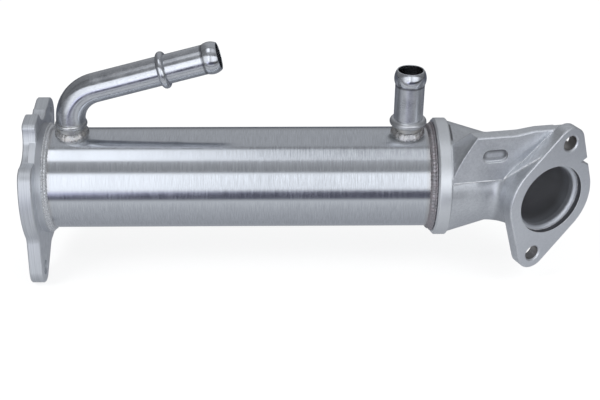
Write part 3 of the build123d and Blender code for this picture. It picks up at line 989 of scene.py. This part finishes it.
tent = {
    "stops": (
        (-180, 0.16), (-120, 0.20), (-60, 0.42), (-28, 0.64), (-24, 0.12), (-8, 0.085), (0, 0.26),
        (36, 0.34), (39, 0.30), (52, 0.38), (62, 0.46), (66, 0.42), (90, 0.34), (95, 0.25),
        (98, 0.27), (102, 0.42), (155, 0.42), (172, 0.34), (180, 0.16),
    ),
    "sides": ((-1.0, 0.45), (-0.45, 0.58), (-0.26, 1.0), (0.3, 1.0), (0.6, 0.65), (1.0, 0.5)),
    "front": {
        "low": (-9.0, -1.0), "high": (37.0, 34.5), "sag": 16.0,
        "stops": (
            (-1.0, 0.1), (-0.85, 0.35), (-0.65, 1.0), (-0.3, 1.0), (-0.2, 1.45), (-0.07, 0.78),
            (0.04, 0.36), (0.12, 0.82), (0.35, 1.15), (0.65, 1.15), (0.85, 0.35), (1.0, 0.1),
        ),
    },
    "overhead": {
        "low": (63.0, 66.0), "high": (94.5, 91.5), "sag": 0.0,
        "stops": (
            (-1.0, 0.0), (-0.48, 0.0), (-0.40, 0.55), (-0.24, 1.3), (-0.18, 1.5), (-0.07, 0.68),
            (0.04, 0.04), (0.12, 0.3), (0.3, 0.45), (0.6, 0.2), (1.0, 0.0),
        ),
    },
    "sagFade": (-0.12, -0.36),
    "tone": (0.95, 0.98, 1.03),
    "slate": (0.90, 0.92, 1.24),
    "slateAngle": (-17.0, 7.0, 6.0),
    "slatePlace": (0.0, 0.3, 0.2),
    "fill": 0.16,
    "fillFade": (-0.24, -0.36),
    "plain": 0.75,
    "brightest": 2.0,
}


def makeRamp(tree, value, low, high, pairs, brightest):
    # brightness against an angle or a place, in shares of the brightest
    ramp = addNode(tree, "ShaderNodeValToRGB", {}, {0: stretch(tree, value, low, high)})
    stops = ramp.color_ramp.elements
    while len(stops) > 1:
        stops.remove(stops[-1])
    for number, (at, shade) in enumerate(pairs):
        place = (at - low) / (high - low)
        stop = stops[0] if number == 0 else stops.new(place)
        stop.position = place
        stop.color = (shade / brightest, shade / brightest, shade / brightest, 1)
    return ramp.outputs[0]


def addBackground(tree, colour, strength):
    inputs = {"Color": colour, "Strength": strength}
    return addNode(tree, "ShaderNodeBackground", {}, inputs).outputs[0]


def makeStudio(look):
    world = bpy.data.worlds.new("studio")
    scene.world = world
    world.use_nodes = True
    tree = world.node_tree
    tree.nodes.clear()
    looking = addNode(tree, "ShaderNodeTexCoord").outputs["Generated"]
    xyz = addNode(tree, "ShaderNodeSeparateXYZ", {}, {0: looking}).outputs
    angle = doMath(tree, "ARCTAN2", xyz["Z"], times(tree, xyz["Y"], -1.0))
    degrees = times(tree, angle, 180 / math.pi)
    shade = times(tree, makeRamp(tree, degrees, -180, 180, look["stops"], look["brightest"]),
                  makeRamp(tree, xyz["X"], -1, 1, look["sides"], 1.0))
    for panel in (look["front"], look["overhead"]):
        across = makeRamp(tree, xyz["X"], -1, 1, panel["stops"], look["brightest"])
        sag = stretch(tree, xyz["X"], *look["sagFade"], 0.0, panel["sag"])
        lit = times(tree, stretch(tree, plus(tree, degrees, sag), *panel["low"]),
                    stretch(tree, degrees, *panel["high"]), across)
        shade = plus(tree, shade, lit)

    # slate tint low in front, filled in a little on the left
    slateShare = times(tree, near(tree, degrees, *look["slateAngle"]),
                       near(tree, xyz["X"], *look["slatePlace"]))
    onLeft = stretch(tree, xyz["X"], *look["fillFade"], 0.0, look["fill"] / look["brightest"])
    shade = plus(tree, shade, times(tree, slateShare, onLeft))
    tone = mixColours(tree, slateShare, look["tone"], look["slate"])
    tented = addBackground(tree, mixColours(tree, 1.0, shade, tone, "MULTIPLY"), look["brightest"])
    white = addBackground(tree, (1, 1, 1, 1), 1.0)
    plain = addBackground(tree, (1, 1, 1, 1), look["plain"])
    rays = addNode(tree, "ShaderNodeLightPath").outputs
    reflected = mixShaders(tree, rays["Is Glossy Ray"], plain, tented)
    both = mixShaders(tree, rays["Is Camera Ray"], reflected, white)
    out = addNode(tree, "ShaderNodeOutputWorld")
    tree.links.new(both, out.inputs["Surface"])


makeStudio(tent)

lampTarget = Vector((0.15, 0, 0))
lamps = {
    "lampLeft": {"place": (-0.7, -0.5, 0.8), "size": 0.5, "power": 5.0},
    "lampRight": {"place": (1.0, -0.6, 0.9), "size": 0.5, "power": 4.0},
}

for name, look in lamps.items():
    light = bpy.data.lights.new(name, "AREA")
    light.size = look["size"]
    light.energy = look["power"]
    lamp = bpy.data.objects.new(name, light)
    lamp.location = look["place"]
    lamp.visible_glossy = False  # the tent is what the metal shows
    lamp.rotation_euler = (lampTarget - lamp.location).to_track_quat("-Z", "Y").to_euler()
    scene.collection.objects.link(lamp)
print("studio set")
